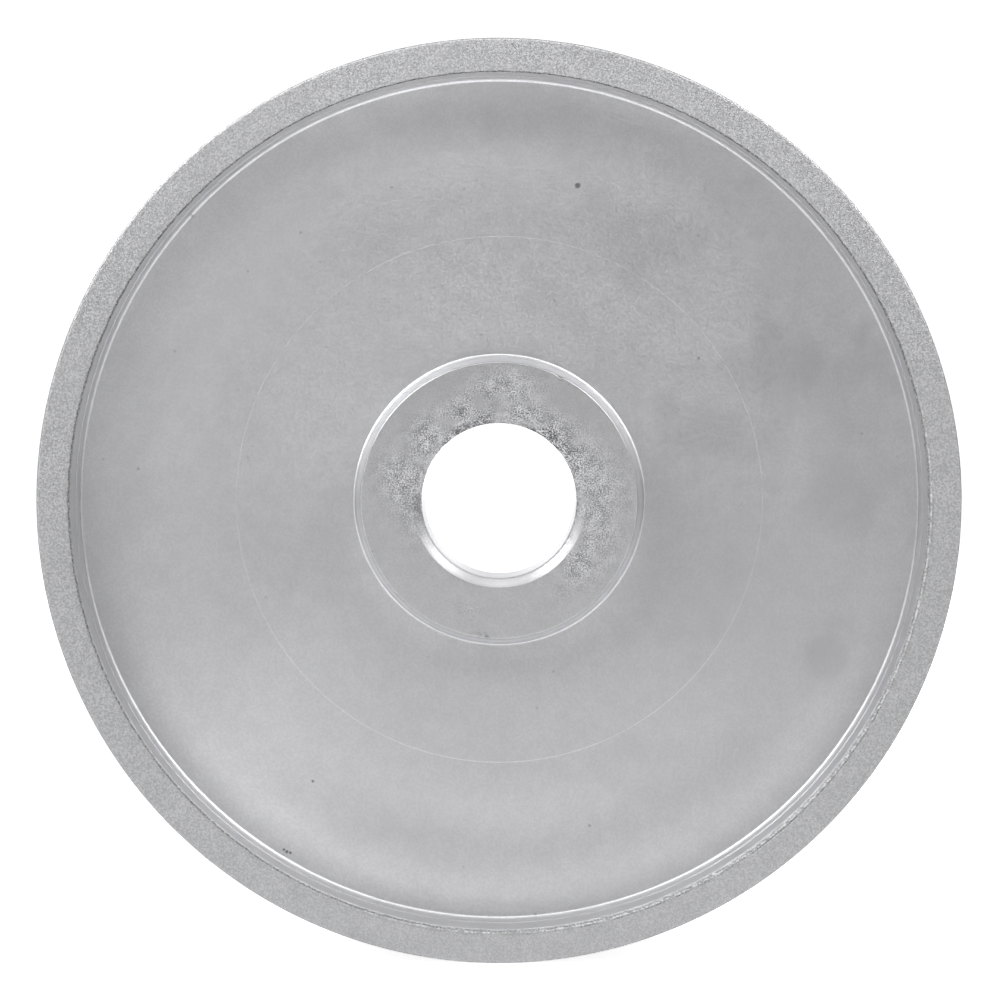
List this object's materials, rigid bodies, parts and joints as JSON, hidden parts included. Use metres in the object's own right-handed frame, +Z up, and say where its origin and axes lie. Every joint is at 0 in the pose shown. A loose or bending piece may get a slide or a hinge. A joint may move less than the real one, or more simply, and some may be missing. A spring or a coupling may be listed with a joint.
{
  "type": "diamond grinding wheel",
  "caption": "Wide plated diamond grinding wheel with a recessed web, a raised tapered hub and a central arbor bore.",
  "frame": {"origin": "the wheel's centre, on the bore's axis halfway between its two sides", "axes": "+Y along the bore, from the pictured front side to the back; +Z up, with the wheel upright"},
  "size_m": [0.15, 0.038, 0.15],
  "materials": {
    "turned_metal": "fine turned, etched in patches",
    "satin_web": "satin, lightly stained",
    "diamond_grit": "coarse nickel and diamond grit"
  },
  "bodies": {
    "root": {"hub": "turned_metal", "web_disc": "satin_web", "rim_hoop": "turned_metal", "grit_face": "diamond_grit", "front_grit_shoulder": "diamond_grit", "back_grit_shoulder": "diamond_grit"}
  },
  "joints": []
}
